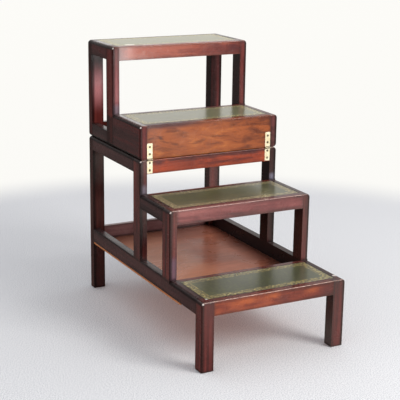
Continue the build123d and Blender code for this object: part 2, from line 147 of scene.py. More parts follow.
def addBump(tree, shader, height, strength, distance):
    bump = addNode(tree, "Bump", {"Strength": strength, "Distance": distance, "Height": height})
    put(tree, shader["Normal"], bump.outputs[0])


def startGroup(name, inputs, outputs):
    group = bpy.data.node_groups.new(name, "ShaderNodeTree")
    kinds = {"value": "NodeSocketFloat", "vector": "NodeSocketVector"}
    for label, (kind, value) in inputs.items():
        socket = group.interface.new_socket(name=label, in_out="INPUT", socket_type=kinds[kind])
        if value is not None:
            socket.default_value = value
    for label, kind in outputs.items():
        group.interface.new_socket(name=label, in_out="OUTPUT", socket_type=kinds[kind])
    given = group.nodes.new("NodeGroupInput").outputs
    return group, given, group.nodes.new("NodeGroupOutput").inputs


def useGroup(tree, group, **values):
    node = tree.nodes.new("ShaderNodeGroup")
    node.node_tree = group
    for label, value in values.items():
        put(tree, node.inputs[label.replace("_", " ")], value)
    return node.outputs


def startMaterial(name, **fixed):
    material = bpy.data.materials.new(name)
    material.use_nodes = True
    tree = material.node_tree
    shader = tree.nodes["Principled BSDF"]
    for label, value in fixed.items():
        shader.inputs[label.replace("_", " ")].default_value = value
    return material, tree, shader.inputs


# Effects that several materials share. Each range says which values of a noise or a normal give
# 0 and 1, or the two values given after them

grainShape = dict(
    # how often each layer repeats in a metre, along the fibres and across them
    wander=(3, 9, 9), bands=(1.6, 26, 26), lines=(5, 190, 190), flames=(15, 38, 38),
    pores=(150, 2600, 2600),
    # how far the fibres wander in metres, and how the layers add up
    wanderReach=(0.0, 0.018, 0.018), bandShare=0.72, lineShare=0.28, poreDepth=0.6,
    toneRange=(0.30, 0.70), poreRange=(0.60, 0.74),
)


def buildWoodGrain(shape):
    # the fibres run along the first direction of Place
    group, given, made = startGroup(
        "woodGrain",
        {"Place": ("vector", None), "Figure": ("value", 0.3)},
        {"Tone": "value", "Pores": "value", "Height": "value"},
    )
    coarse = stretched(group, given["Place"], shape["wander"])
    wander = drift(group, coarse, 1.0, 1.0, shape["wanderReach"])
    place = vectorCalc(group, "ADD", given["Place"], wander)
    bands = speckle(group, stretched(group, place, shape["bands"]), 1.0, 2.0)
    lines = speckle(group, stretched(group, place, shape["lines"]), 1.0, 3.0, 0.62)
    flames = speckle(group, stretched(group, place, shape["flames"]), 1.0, 3.0, 0.55, 1.1)
    pores = speckle(group, stretched(group, place, shape["pores"]), 1.0, 1.0)
    fine = times(group, lines, shape["lineShare"])
    plain = timesPlus(group, bands, shape["bandShare"], fine)
    mixed = addNode(group, "Mix", {0: given["Figure"], 2: plain, 3: flames}, data_type="FLOAT")
    put(group, made["Tone"], spread(group, mixed.outputs[0], *shape["toneRange"]))
    put(group, made["Pores"], spread(group, pores, *shape["poreRange"]))
    sunken = times(group, pores, shape["poreDepth"])
    put(group, made["Height"], calc(group, "SUBTRACT", lines, sunken))
    return group


wearAndShadeShape = dict(
    raggedness=(70.0, 3.0, 0.65), raggedRange=(0.34, 0.56, 0.25),
    arrisRange=(0.36, 0.48), asideRange=(0.40, 0.75), squareRange=(0.999, 0.97),
    outerShadeRange=(0.1985, 0.2060, 0.0, 0.90),  # metres from the middle plane of the steps
    bevelSamples=6, shadeRange=(0.999, 0.90), occlusionSamples=8, occlusionRange=(0.80, 0.30),
)


def buildEdgeWearAndShade(shape):
    # The first output is the rubbed round along a rail, paler with wear and a painted highlight,
    # the second the round down a side, dark with painted shade, the third darker colour beside an
    # edge, the last a crevice or inside corner, dark with dirt and painted shade
    group, given, made = startGroup(
        "edgeWearAndShade",
        {"Place": ("vector", None), "Here": ("vector", None),
         "Width": ("value", 0.016), "Reach": ("value", 0.012)},
        {"ArrisWearAndSheen": "value", "TurnedShade": "value", "Shade": "value", "JointDirtAndShade": "value"},
    )
    facing = addNode(group, "VectorMath", {0: ownNormal(group)}, operation="ABSOLUTE").outputs[0]
    aside, ahead, up = splitAxes(group, facing)
    ragged = speckle(group, given["Place"], *shape["raggedness"])
    ragged = spread(group, ragged, *shape["raggedRange"])
    # painted highlight on rounds between front and top, broken up so that it looks rubbed
    arrisWearAndSheen = spread(group, times(group, ahead, up), *shape["arrisRange"])
    put(group, made["ArrisWearAndSheen"], times(group, arrisWearAndSheen, ragged))
    # painted shade on rounds turned aside and on the front faces near the outer sides
    fromMiddle = calc(group, "ABSOLUTE", splitAxes(group, given["Here"])[0])
    outer = spread(group, fromMiddle, *shape["outerShadeRange"])
    turned = calc(group, "MAXIMUM", spread(group, aside, *shape["asideRange"]), outer)
    put(group, made["TurnedShade"], times(group, turned, spread(group, aside, *shape["squareRange"])))
    rounded = addNode(group, "Bevel", {"Radius": given["Width"]}, samples=shape["bevelSamples"])
    straight = addNode(group, "NewGeometry").outputs["True Normal"]
    normals = {0: rounded.outputs["Normal"], 1: straight}
    bent = addNode(group, "VectorMath", normals, operation="DOT_PRODUCT").outputs["Value"]
    put(group, made["Shade"], spread(group, bent, *shape["shadeRange"]))
    # occlusion darkens crevices and inside corners: dirt in the joints and painted shade
    reach = {"Distance": given["Reach"]}
    around = addNode(group, "AmbientOcclusion", reach, samples=shape["occlusionSamples"]).outputs["AO"]
    put(group, made["JointDirtAndShade"], spread(group, around, *shape["occlusionRange"]))
    return group


waxShape = dict(
    smear=(11.0, 4.0, 0.6, 0.6), smearRange=(0.34, 0.68),
    dust=(160.0, 4.0, 0.7), dustRange=(0.35, 0.75), upRange=(0.75, 1.0),
)


def buildWax(shape):
    # smears in the polish, and a little dust on what faces up
    group, given, made = startGroup(
        "waxAndDust",
        {"Place": ("vector", None)},
        {"Smear": "value", "Dust": "value"},
    )
    smear = speckle(group, given["Place"], *shape["smear"])
    put(group, made["Smear"], spread(group, smear, *shape["smearRange"]))
    upward = spread(group, splitAxes(group, ownNormal(group))[2], *shape["upRange"])
    settled = spread(group, speckle(group, given["Place"], *shape["dust"]), *shape["dustRange"])
    put(group, made["Dust"], times(group, upward, settled))
    return group


woodGrain = buildWoodGrain(grainShape)
edgeWearAndShade = buildEdgeWearAndShade(wearAndShadeShape)
waxAndDust = buildWax(waxShape)


# Spots rubbed or chipped pale on the wood, with painted glints on corner tips: where, half the
# length each way, and how strongly

chipAndGlintSpots = (
    ((-0.2075, 0.1810, 0.7360), (0.0030, 0.0030, 0.0030), 0.75),
    ((-0.2075, 0.0010, 0.5510), (0.0030, 0.0030, 0.0030), 0.90),
    ((-0.2075, 0.0010, 0.4590), (0.0032, 0.0032, 0.0032), 0.80),
    ((-0.2075, -0.1790, 0.3664), (0.0032, 0.0032, 0.0032), 0.80),
    ((-0.2060, -0.3590, 0.1815), (0.0032, 0.0032, 0.0032), 0.80),
    ((0.1990, -0.3250, 0.1850), (0.0060, 0.0060, 0.0050), 1.00),
)
raggedEdge = dict(scale=3.2, detail=4.0, reach=(1.2, 1.2, 1.2))


def aroundSpot(tree, here, at, size, tilt=0.0):
    # the place counted from the middle of a spot, in its half lengths
    values = {"Vector": here, "Location": at, "Scale": size,
              "Rotation": (0.0, math.radians(tilt), 0.0)}
    return addNode(tree, "Mapping", values, vector_type="TEXTURE").outputs[0]


def addSpots(tree, here, spots, outer=1.1, inner=0.6):
    # each spot is full up to inner and gone at outer, both in half lengths from its middle
    marked = 0.0
    for at, size, strength in spots:
        local = aroundSpot(tree, here, at, size)
        local = vectorCalc(tree, "ADD", local, drift(tree, local, **raggedEdge))
        spot = spread(tree, lengthOf(tree, local), outer, inner, 0.0, strength)
        marked = calc(tree, "MAXIMUM", marked, spot)
    return marked


# Mahogany. Each look has its colours, the way its fibres run and how strongly it is figured.
# slope, reach, rise and foot make it paler or darker across, towards the back and upwards.
# faded lists painted reflections, pale bands on the front: height, full within, gone at, strength,
# colour.
# glows and stains are soft spots, given like the pale spots

quarterTurn = math.radians(90)
fibreTurns = {
    "across": (0.0, 0.0, 0.0),
    "along": (0.0, 0.0, quarterTurn),
    "upright": (0.0, quarterTurn, 0.0),
}
# in a look, sides darkens what faces aside: painted shade
usualLook = dict(
    # rubbed is the colour painted on the rail rounds: pale wear with a painted highlight
    gloss=1.0, calm=1.0, sides=0.0, faded=(), arrisWearAndSheen=0.45, rubbed=tint(214, 178, 158), dust=0.12,
    # how much of the gloss is left on what faces aside, ahead and up
    flank=0.4, front=1.0, top=1.0,
)
uprightRed = dict(
    run="upright", dark=tint(46, 17, 17), middle=tint(93, 37, 34), light=tint(132, 62, 56),
    figure=0.12,
)
leftRed = dict(uprightRed, shift=(0.3, 0.7, 0.2))
paleUpright = dict(uprightRed, light=tint(132, 60, 52), calm=0.6, flank=1.0)
# a darker copy of the upright mahogany for posts in shadow: painted shade
shadedRed = dict(
    run="upright", dark=tint(32, 12, 12), middle=tint(56, 22, 20), light=tint(84, 37, 32),
    figure=0.12, shift=(0.7, 0.2, 0.5), flank=0.15, specular=0.16,
)
# darker and browner for the side pieces, whose sides face away from the lamps: painted shade
shadedSideBrown = dict(
    run="along", dark=tint(36, 23, 24), middle=tint(58, 37, 37), light=tint(82, 52, 50),
    figure=0.15, gloss=1.3, calm=0.7, flank=0.2, specular=0.16,
)
mahoganyLooks = {
    "uprightMahogany": leftRed,
    # pale bluish band at the foot of the front: a painted reflection
    "hingePostMahogany": dict(leftRed, faded=((0.374, 0.008, 0.028, 0.80, tint(130, 120, 132)),)),
    # pale bluish band at the foot of the front: a painted reflection
    "stepTwoPostMahogany": dict(leftRed, faded=((0.206, 0.024, 0.050, 0.75, tint(116, 88, 104)),)),
    "shadedMahogany": shadedRed,
    "hingeRightShadedMahogany": dict(
        # pale bluish band at the foot of the front: a painted reflection
        shadedRed, faded=((0.374, 0.006, 0.020, 0.75, tint(128, 124, 142)),),
    ),
    # a darker copy for the back right post, which stands in shadow: painted shade
    "upperRightShadedMahogany": dict(
        uprightRed, dark=tint(38, 15, 15), middle=tint(74, 31, 31), light=tint(116, 50, 48),
        shift=(0.7, 0.2, 0.5), slope=(0.184, 0.200, -0.12, 0.40), flank=0.15, specular=0.16,
    ),
    "upperPostMahogany": dict(
        # faces turned aside a little darker: painted shade
        paleUpright, shift=(0.2, 0.7, 0.4), gloss=0.32, sides=-0.05,
        foot=(0.540, 0.553, -0.45, 0.0),
        # pink band at mid height and pale bluish band at the foot: painted reflections
        faded=(
            (0.604, 0.0, 0.14, 0.80, tint(166, 90, 92)),
            (0.560, 0.010, 0.032, 0.85, tint(138, 122, 132)),
        ),
    ),
    "upperRearMahogany": dict(
        # faces turned aside much darker: painted shade
        paleUpright, shift=(0.6, 0.3, 0.4), gloss=0.30, sides=-0.40,
        rise=(0.640, 0.690, 0.0, -0.50),
        # pale pink band at mid height of the front: a painted reflection
        faded=((0.607, 0.0, 0.082, 0.92, tint(200, 128, 130)),),
    ),
    "crossMahogany": dict(
        run="across", dark=tint(52, 17, 14), middle=tint(102, 37, 27), light=tint(142, 62, 42),
        figure=0.22, shift=(0.1, 0.4, 0.9),
    ),
    "rearRailMahogany": dict(
        run="across", dark=tint(74, 42, 42), middle=tint(116, 78, 78), light=tint(140, 100, 99),
        figure=0.18, shift=(0.1, 0.4, 0.9), slope=(-0.11, -0.03, 0.20, -0.40),
    ),
    "sideMahogany": dict(shadedSideBrown, shift=(0.6, 0.2, 0.5)),
    "rightRailMahogany": dict(shadedSideBrown, shift=(0.1, 0.5, 0.8), top=0.5),
    "sideBoardMahogany": dict(
        shadedSideBrown, dark=tint(38, 21, 22), middle=tint(62, 34, 34), light=tint(112, 44, 42),
        shift=(0.6, 0.9, 0.5), reach=(0.002, 0.010, 0.38, 0.0), front=0.0, top=1.9,
        calm=0.4, dust=0.60,
    ),
    "rightBoardMahogany": dict(
        run="along", dark=tint(38, 19, 18), middle=tint(74, 38, 36), light=tint(108, 58, 56),
        figure=0.15, shift=(0.3, 0.9, 0.5), gloss=1.3, front=0.6, flank=0.2, specular=0.20,
    ),
    "insideMahogany": dict(
        run="across", dark=tint(70, 32, 22), middle=tint(112, 58, 38), light=tint(146, 86, 58),
        figure=0.15, shift=(0.9, 0.1, 0.3),
    ),
    "stepOneRailMahogany": dict(
        run="across", dark=tint(78, 27, 19), middle=tint(114, 44, 29), light=tint(154, 72, 42),
        figure=0.32, shift=(0.2, 0.0, 0.6), slope=(-0.05, 0.19, -0.04, -0.32),
        arrisWearAndSheen=0.55, gloss=0.85,
        glows=(
            ((-0.0850, -0.3600, 0.1720), (0.0450, 0.0200, 0.0110), 0.42),
            ((-0.0080, -0.3600, 0.1740), (0.0260, 0.0200, 0.0090), 0.40),
            ((0.1080, -0.3600, 0.1700), (0.0260, 0.0200, 0.0090), 0.30),
        ),
        stains=(
            ((0.0220, -0.3600, 0.1620), (0.0240, 0.0200, 0.0130), 0.55),
            ((-0.1300, -0.3600, 0.1520), (0.0300, 0.0200, 0.0070), 0.45),
            ((0.1560, -0.3600, 0.1640), (0.0280, 0.0200, 0.0220), 0.60),
        ),
    ),
    "hingeRailMahogany": dict(
        run="across", dark=tint(86, 28, 24), middle=tint(174, 68, 32), light=tint(220, 108, 50),
        figure=0.25, shift=(0.5, 0.3, 0.1), slope=(-0.19, 0.12, 0.36, 0.02),
        rise=(0.446, 0.458, 0.0, -0.45), arrisWearAndSheen=0.15, gloss=0.6,
        stains=(
            ((-0.1540, 0.0, 0.4520), (0.0200, 0.0200, 0.0090), 0.75),
            ((0.0060, 0.0, 0.4540), (0.0420, 0.0200, 0.0070), 0.55),
            ((0.1200, 0.0, 0.4540), (0.0600, 0.0200, 0.0090), 0.75),
            ((0.1350, 0.0, 0.4400), (0.0700, 0.0200, 0.0300), 0.30),
        ),
    ),
    "stepTwoRailMahogany": dict(
        run="across", dark=tint(66, 26, 28), middle=tint(116, 54, 54), light=tint(148, 82, 78),
        figure=0.30, shift=(0.8, 0.1, 0.2), gloss=1.15,
    ),
    "stepFourRailMahogany": dict(
        run="across", dark=tint(66, 24, 20), middle=tint(124, 50, 40), light=tint(170, 86, 64),
        figure=0.25, shift=(0.4, 0.9, 0.3), slope=(-0.10, 0.19, 0.24, 0.02), arrisWearAndSheen=0.80,
        rubbed=tint(48, 22, 20), gloss=1.5,
        stains=(
            ((-0.1820, 0.1800, 0.7200), (0.0200, 0.0200, 0.0300), 0.50),
            ((0.0950, 0.1800, 0.7290), (0.0400, 0.0200, 0.0080), 0.45),
            ((0.1700, 0.1800, 0.7230), (0.0300, 0.0200, 0.0180), 0.65),
        ),
    ),
}
pieceFinishes = {
    "step_one_front_rail": "stepOneRailMahogany",
    "hinge_rail": "hingeRailMahogany",
    "step_two_front_rail": "stepTwoRailMahogany",
    "step_four_front_rail": "stepFourRailMahogany",
    "hinge_post_left": "hingePostMahogany",
    "hinge_post_right": "hingeRightShadedMahogany",
    "step_two_post_left": "stepTwoPostMahogany",
    "rear_leg_left": "shadedMahogany",
    "lower_rear_bottom_rail": "rearRailMahogany",
    "step_four_post_left": "upperPostMahogany",
    "upper_rear_post_left": "upperRearMahogany",
    "upper_rear_post_right": "upperRightShadedMahogany",
    "step_three_side_board_left": "sideBoardMahogany",
    "step_three_side_board_right": "rightBoardMahogany",
    "step_four_side_rail_left": "sideBoardMahogany",
    "long_side_rail_right": "rightRailMahogany",
}
woodFinish = dict(
    specular=0.32, coatRough=0.08, ownTone=0.24, middleTone=0.55, lightTone=(0.45, 1.0),
    sideShadeRange=(0.4, 0.9), innerShadeRange=(-0.08, -0.15, 0.0, -0.50), frontRange=(-0.5, -0.9),
    softEdge=(1.3, 0.1), glow=tint(196, 100, 46), stain=tint(70, 32, 36),
    pores=(0.45, tint(30, 10, 9)), shade=(0.60, tint(34, 13, 12)), turned=(0.85, tint(20, 9, 9)),
    jointDirtAndShade=(0.80, tint(22, 10, 9)), chipAndGlint=tint(232, 220, 212), dust=tint(170, 160, 155),
    rough=0.20, smearRough=0.14, poreRough=0.12,
    coat=0.36, smearCoat=-0.12, turnedCoat=-0.8, faceRange=(0.6, 0.95), bump=(0.25, 0.0004),
)


def woodTones(tree, tone, look, middleTone):
    colour = blendColour(tree, spread(tree, tone, 0.0, middleTone), look["dark"], look["middle"])
    return blendColour(tree, spread(tree, tone, *woodFinish["lightTone"]), colour, look["light"])


def makeTone(tree, look, finish, grain, at, facing):
    tone = timesPlus(tree, grain["Tone"], look["calm"], 0.5 - 0.5 * look["calm"])
    own = addNode(tree, "ObjectInfo").outputs["Random"]
    own = timesPlus(tree, own, finish["ownTone"], -0.5 * finish["ownTone"])
    tone = calc(tree, "ADD", tone, own, clamp=True)
    for key, direction in (("slope", 0), ("reach", 1), ("rise", 2), ("foot", 2)):
        if key in look:
            tone = calc(tree, "ADD", tone, spread(tree, at[direction], *look[key]), clamp=True)
    # painted shade: faces turned aside darker by the look's sides, faces towards the middle darker
    # still
    sideways = calc(tree, "ABSOLUTE", facing[0])
    paintedSideShade = spread(tree, sideways, *finish["sideShadeRange"], 0.0, look["sides"])
    paintedInnerShade = spread(tree, times(tree, facing[0], at[0]), *finish["innerShadeRange"])
    return calc(tree, "ADD", tone, calc(tree, "ADD", paintedSideShade, paintedInnerShade), clamp=True)


def makeCoat(tree, look, finish, smear, turned, facing):
    gloss = look["gloss"]
    coat = timesPlus(tree, smear, finish["smearCoat"] * gloss, finish["coat"] * gloss)
    for direction, key in enumerate(("flank", "front", "top")):
        towards = calc(tree, "ABSOLUTE", facing[direction])
        coat = times(tree, coat, spread(tree, towards, *finish["faceRange"], 1.0, look[key]))
    return times(tree, coat, timesPlus(tree, turned, finish["turnedCoat"], 1.0))


def makeMahogany(name, look, finish):
    look = dict(usualLook, **look)
    specular = look.get("specular", finish["specular"] * look["gloss"])
    material, tree, shader = startMaterial(
        name, Specular_IOR_Level=specular, Coat_Roughness=finish["coatRough"])
    here = objectPlace(tree)
    place = objectPlace(tree, fibreTurns[look["run"]], look["shift"])
    grain = useGroup(tree, woodGrain, Place=place, Figure=look["figure"])
    wornAndShaded = useGroup(tree, edgeWearAndShade, Place=place, Here=here)
    wax = useGroup(tree, waxAndDust, Place=place)
    at, facing = splitAxes(tree, here), splitAxes(tree, ownNormal(tree))
    tone = makeTone(tree, look, finish, grain, at, facing)
    colour = woodTones(tree, tone, look, finish["middleTone"])
    # painted reflections: pale bands on faces towards the front
    for height, near, far, strength, paintedSheen in look["faded"]:
        band = spread(tree, apart(tree, at[2], height), near, far, strength, 0.0)
        forward = spread(tree, facing[1], *finish["frontRange"])
        colour = layOver(tree, colour, band, forward, paintedSheen)
    for key, hue in (("glows", finish["glow"]), ("stains", finish["stain"])):
        if key in look:
            spots = addSpots(tree, here, look[key], *finish["softEdge"])
            colour = blendColour(tree, spots, colour, hue)
    colour = layOver(tree, colour, grain["Pores"], *finish["pores"])
    colour = layOver(tree, colour, wornAndShaded["Shade"], *finish["shade"])
    # painted shade on rounds turned aside and near the outer edges
    colour = layOver(tree, colour, wornAndShaded["TurnedShade"], *finish["turned"])
    # rail rounds painted pale with wear and a painted highlight, and dark on step four's rail
    colour = layOver(tree, colour, wornAndShaded["ArrisWearAndSheen"], look["arrisWearAndSheen"], look["rubbed"])
    # darker in crevices and inside corners: dirt and painted shade
    colour = layOver(tree, colour, wornAndShaded["JointDirtAndShade"], *finish["jointDirtAndShade"])
    # pale chips with painted glints on the corner tips
    colour = blendColour(tree, addSpots(tree, here, chipAndGlintSpots), colour, finish["chipAndGlint"])
    colour = layOver(tree, colour, wax["Dust"], look["dust"], finish["dust"])
    put(tree, shader["Base Color"], colour)
    rough = timesPlus(tree, wax["Smear"], finish["smearRough"], finish["rough"])
    put(tree, shader["Roughness"], timesPlus(tree, grain["Pores"], finish["poreRough"], rough))
    coat = makeCoat(tree, look, finish, wax["Smear"], wornAndShaded["TurnedShade"], facing)
    put(tree, shader["Coat Weight"], coat)
    addBump(tree, shader, grain["Height"], *finish["bump"])
    return material


mahogany = {name: makeMahogany(name, look, woodFinish) for name, look in mahoganyLooks.items()}
print("mahogany made")


# The figured board at the front of step three

apronLook = dict(
    dark=tint(106, 48, 22), middle=tint(158, 80, 35), light=tint(196, 114, 52), middleTone=0.5,
    specular=0.28, coatRough=0.08, shift=(0.15, 0.0, 0.35), figure=0.12,
    mottle=(22, 30, 80), mottleRange=(0.26, 0.74), mottleShare=0.50,
    slopes=((-0.15, -0.03, -0.08, 0.08), (0.03, 0.15, 0.0, -0.32)),
    mark=tint(54, 22, 12), markEdge=(1.7, 0.2), markRange=(0.70, 0.30, 0.40, 0.85),
    markDrift=dict(scale=75.0, detail=3.0, reach=(0.020, 0.0, 0.009)),
    marks=(  # across, up, half width, half height, tilt in degrees, strength
        (-0.1470, 0.5170, 0.0080, 0.0034, 28, 1.00), (-0.1385, 0.5080, 0.0120, 0.0030, 20, 0.85),
        (-0.1080, 0.4980, 0.0190, 0.0036, 24, 0.60), (-0.1800, 0.5190, 0.0080, 0.0030, 5, 0.70),
        (-0.0330, 0.5005, 0.0180, 0.0034, -14, 0.75), (0.0230, 0.5095, 0.0330, 0.0026, 3, 0.75),
        (0.0660, 0.5370, 0.0100, 0.0070, -40, 0.45), (-0.1300, 0.4860, 0.0330, 0.0050, 0, 0.60),
        (-0.0900, 0.5270, 0.0260, 0.0080, 20, 0.40),
    ),
    plum=tint(70, 29, 37), plumUp=(0.536, 0.552), plumAcross=(0.02, -0.10, 0.25, 0.90),
    pores=(0.40, tint(50, 20, 14)), shade=(0.60, tint(52, 20, 16)), jointDirtAndShade=(0.80, tint(26, 12, 10)),
    rough=0.26, smearRough=0.14, coat=0.12, smearCoat=-0.08, bump=(0.2, 0.0004),
)


def makeApronWood(look):
    material, tree, shader = startMaterial(
        "figuredMahogany", Specular_IOR_Level=look["specular"], Coat_Roughness=look["coatRough"])
    here = objectPlace(tree)
    place = objectPlace(tree, shift=look["shift"])
    grain = useGroup(tree, woodGrain, Place=place, Figure=look["figure"])
    wornAndShaded = useGroup(tree, edgeWearAndShade, Place=place)
    wax = useGroup(tree, waxAndDust, Place=place)
    at = splitAxes(tree, here)
    mottle = speckle(tree, stretched(tree, place, look["mottle"]), 1.0, 4.0, 0.6, 0.7)
    plain = times(tree, grain["Tone"], 1.0 - look["mottleShare"])
    mottled = spread(tree, mottle, *look["mottleRange"])
    tone = timesPlus(tree, mottled, look["mottleShare"], plain)
    for slope in look["slopes"]:
        tone = calc(tree, "ADD", tone, spread(tree, at[0], *slope), clamp=True)
    colour = woodTones(tree, tone, look, look["middleTone"])
    bent = vectorCalc(tree, "ADD", here, drift(tree, here, **look["markDrift"]))
    marked = 0.0
    for across, up, halfWidth, halfHeight, tilt, strength in look["marks"]:
        local = aroundSpot(tree, bent, (across, 0.0, up), (halfWidth, 1.0, halfHeight), tilt)
        spot = spread(tree, lengthOf(tree, local), *look["markEdge"], 0.0, strength)
        marked = calc(tree, "MAXIMUM", marked, spot)
    colour = layOver(tree, colour, marked, spread(tree, mottle, *look["markRange"]), look["mark"])
    nearTop = spread(tree, at[2], *look["plumUp"])
    colour = layOver(tree, colour, nearTop, spread(tree, at[0], *look["plumAcross"]), look["plum"])
    colour = layOver(tree, colour, grain["Pores"], *look["pores"])
    colour = layOver(tree, colour, wornAndShaded["Shade"], *look["shade"])
    # darker in crevices and inside corners: dirt and painted shade
    colour = layOver(tree, colour, wornAndShaded["JointDirtAndShade"], *look["jointDirtAndShade"])
    put(tree, shader["Base Color"], colour)
    put(tree, shader["Roughness"], timesPlus(tree, wax["Smear"], look["smearRough"], look["rough"]))
    put(tree, shader["Coat Weight"], timesPlus(tree, wax["Smear"], look["smearCoat"], look["coat"]))
    addBump(tree, shader, grain["Height"], *look["bump"])
    return material


# The plywood shelf: a stained, polished face and raw layered edges

plywoodLook = dict(
    dark=tint(166, 94, 68), light=tint(204, 122, 90), specular=0.35, coatRough=0.10,
    shift=(0.4, 0.1, 0.0), figure=0.35, occlusionReach=0.03,
    left=(0.03, -0.04, 0.0, 0.35), leftHighlight=tint(230, 150, 100),
    shadowRight=(0.115, 0.165, 0.0, 0.50), shadowRear=(0.20, 0.32, 0.0, 0.60), shadowColour=tint(62, 42, 46),
    pores=(0.35, tint(70, 30, 22)), jointDirtAndShade=(0.6, tint(40, 18, 14)),
    edgeRange=(0.7, 0.3), underside=0.1405, layer=0.0012, layerRange=(0.0003, 0.0009),
    rawDark=tint(150, 78, 40), rawLight=tint(214, 140, 84),
    rough=0.24, smearRough=0.16, edgeRough=0.35, coat=0.08, bump=(0.2, 0.0004),
)


def makePlywood(look):
    material, tree, shader = startMaterial(
        "stainedPlywood", Specular_IOR_Level=look["specular"], Coat_Roughness=look["coatRough"])
    place = objectPlace(tree, shift=look["shift"])
    grain = useGroup(tree, woodGrain, Place=place, Figure=look["figure"])
    wornAndShaded = useGroup(tree, edgeWearAndShade, Place=place, Reach=look["occlusionReach"])
    wax = useGroup(tree, waxAndDust, Place=place)
    at = splitAxes(tree, objectPlace(tree))
    colour = blendColour(tree, grain["Tone"], look["dark"], look["light"])
    # painted highlight: paler towards the left
    colour = blendColour(tree, spread(tree, at[0], *look["left"]), colour, look["leftHighlight"])
    # painted shade: darker towards the right rail and the back
    atRight = spread(tree, at[0], *look["shadowRight"])
    atRear = spread(tree, at[1], *look["shadowRear"])
    colour = blendColour(tree, calc(tree, "MAXIMUM", atRight, atRear), colour, look["shadowColour"])
    colour = layOver(tree, colour, grain["Pores"], *look["pores"])
    up = splitAxes(tree, addNode(tree, "NewGeometry").outputs["True Normal"])[2]
    edge = spread(tree, calc(tree, "ABSOLUTE", up), *look["edgeRange"])
    layer = calc(tree, "PINGPONG", calc(tree, "SUBTRACT", at[2], look["underside"]), look["layer"])
    raw = spread(tree, layer, *look["layerRange"])
    raw = blendColour(tree, raw, look["rawDark"], look["rawLight"])
    colour = blendColour(tree, edge, colour, raw)
    # darker in corners and under the rails: dirt and painted shade
    colour = layOver(tree, colour, wornAndShaded["JointDirtAndShade"], *look["jointDirtAndShade"])
    put(tree, shader["Base Color"], colour)
    rough = timesPlus(tree, wax["Smear"], look["smearRough"], look["rough"])
    put(tree, shader["Roughness"], timesPlus(tree, edge, look["edgeRough"], rough))
    put(tree, shader["Coat Weight"], times(tree, calc(tree, "SUBTRACT", 1.0, edge), look["coat"]))
    addBump(tree, shader, grain["Height"], *look["bump"])
    return material


# Brass of the hinges and screws. A hinge is darker along its knuckle, a painted shadow under the
# barrel: height, full within, gone at, strength

brassLooks = {
    "hingeBrass": dict(
        dull=tint(228, 214, 178), bright=tint(248, 240, 218), rough=0.26,
        knuckle=(0.4625, 0.0030, 0.0042, 0.72), tarnish=tint(66, 52, 38),
    ),
    "screwBrass": dict(dull=tint(96, 88, 74), bright=tint(150, 142, 122), rough=0.34),
}
brassFinish = dict(
    edgeWidth=0.001, occlusionReach=0.004, jointDirtAndShade=(0.9, tint(70, 52, 30)),
    cloud=(90.0, 4.0, 0.6, 0.4), cloudRange=(0.35, 0.7), scratch=(2600, 2600, 160),
    cloudRough=0.22, scratchRough=0.10, bump=(0.15, 0.0001),
)


def makeBrass(name, look, finish):
    material, tree, shader = startMaterial(name, Metallic=1.0)
    place = objectPlace(tree)
    width, reach = finish["edgeWidth"], finish["occlusionReach"]
    wornAndShaded = useGroup(tree, edgeWearAndShade, Place=place, Width=width, Reach=reach)
    cloud = speckle(tree, place, *finish["cloud"])
    scratch = speckle(tree, stretched(tree, place, finish["scratch"]), 1.0, 2.0)
    clouded = spread(tree, cloud, *finish["cloudRange"])
    colour = blendColour(tree, clouded, look["dull"], look["bright"])
    colour = layOver(tree, colour, wornAndShaded["JointDirtAndShade"], *finish["jointDirtAndShade"])
    # painted shadow along the knuckle
    if "knuckle" in look:
        height, near, far, strength = look["knuckle"]
        off = apart(tree, splitAxes(tree, place)[2], height)
        tarnished = spread(tree, off, near, far, strength, 0.0)
        colour = blendColour(tree, tarnished, colour, look["tarnish"])
    put(tree, shader["Base Color"], colour)
    rough = timesPlus(tree, cloud, finish["cloudRough"], look["rough"])
    put(tree, shader["Roughness"], timesPlus(tree, scratch, finish["scratchRough"], rough))
    addBump(tree, shader, scratch, *finish["bump"])
    return material


apronWood = makeApronWood(apronLook)
plywood = makePlywood(plywoodLook)
brass = {name: makeBrass(name, look, brassFinish) for name, look in brassLooks.items()}

slotMaterials = {
    "mahogany_upright": mahogany["uprightMahogany"],
    "mahogany_across": mahogany["crossMahogany"],
    "mahogany_along": mahogany["sideMahogany"],
    "hidden_boards": mahogany["insideMahogany"],
    "figured_mahogany": apronWood,
    "plywood": plywood,
    "brass": brass["hingeBrass"],
}
for node in nodes.values():
    for slot in node.material_slots:
        if node.name in pieceFinishes:
            slot.material = mahogany[pieceFinishes[node.name]]
        elif node.name.endswith("screws"):
            slot.material = brass["screwBrass"]
        elif slot.material and slot.material.name in slotMaterials:
            slot.material = slotMaterials[slot.material.name]
print("wood and brass set on the frame's pieces")


# Leather: an olive hide with a gold tooled border, drawn by its distance from the hide's edge

toolingShape = dict(
    # each line's distance from the edge, and half its width
    lines=((0.0034, 0.0010), (0.0056, 0.0004), (0.0178, 0.0004), (0.0200, 0.0009)),
    # the running leaf between them
    middle=0.0110, repeat=0.018, stemSwing=0.0034, stemEdge=(0.0013, 0.0006),
    leafSwing=0.0030, leafHalf=0.0030, leafEdge=(0.0002, -0.0005),
    veinRepeat=0.006, veinPhase=0.7, veinRange=(0.15, 0.5),
    missing=(150.0, 1.0, 0.5), missingRange=(0.42, 0.58),
    patchy=(17.0, 2.0, 0.5), patchyRange=(0.24, 0.56, 0.35),
    bandStart=(0.0014, 0.0024), bandEnd=(0.0212, 0.0196),
    rimWander=(0.0030, 0.0002), rimRange=(0.0014, 0.0),
)


